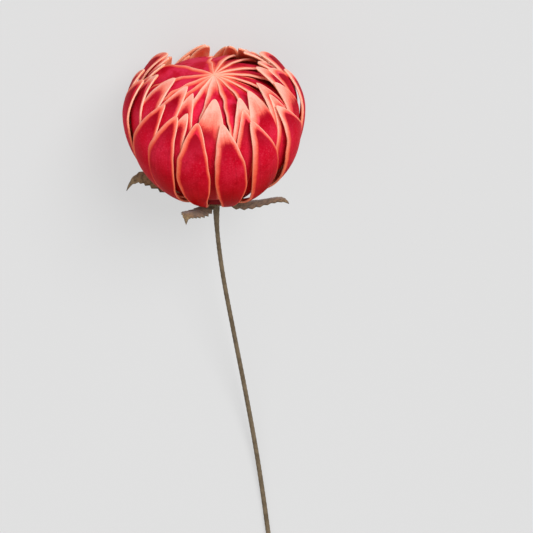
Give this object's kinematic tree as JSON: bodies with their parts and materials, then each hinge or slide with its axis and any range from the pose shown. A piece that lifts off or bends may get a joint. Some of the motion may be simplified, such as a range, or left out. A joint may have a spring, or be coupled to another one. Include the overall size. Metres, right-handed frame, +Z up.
{
  "type": "peony flower",
  "caption": "Closed peony bloom of overlapping pointed foam petals with toothed sepals and a bare taped stem, cut and lying on its side.",
  "frame": {"origin": "middle of the part's length and width, on the surface that it lies on", "axes": "+Z up from the surface, +Y from the stem's cut end towards the bloom, +X to the side"},
  "size_m": [0.1003, 0.3423, 0.0986],
  "materials": {
    "petals": "soft matte foam, crimson in the middle of each petal and fading to orange and pale peach at its margins and tip",
    "sepals": "dull olive brown stiffened cloth with a pressed middle vein",
    "stem": "brown paper tape wound round the wire at a slant, with fine overlapping ridges"
  },
  "bodies": {
    "root": {"bloom": "petals", "calyx": "sepals", "stem": "stem"}
  },
  "joints": []
}
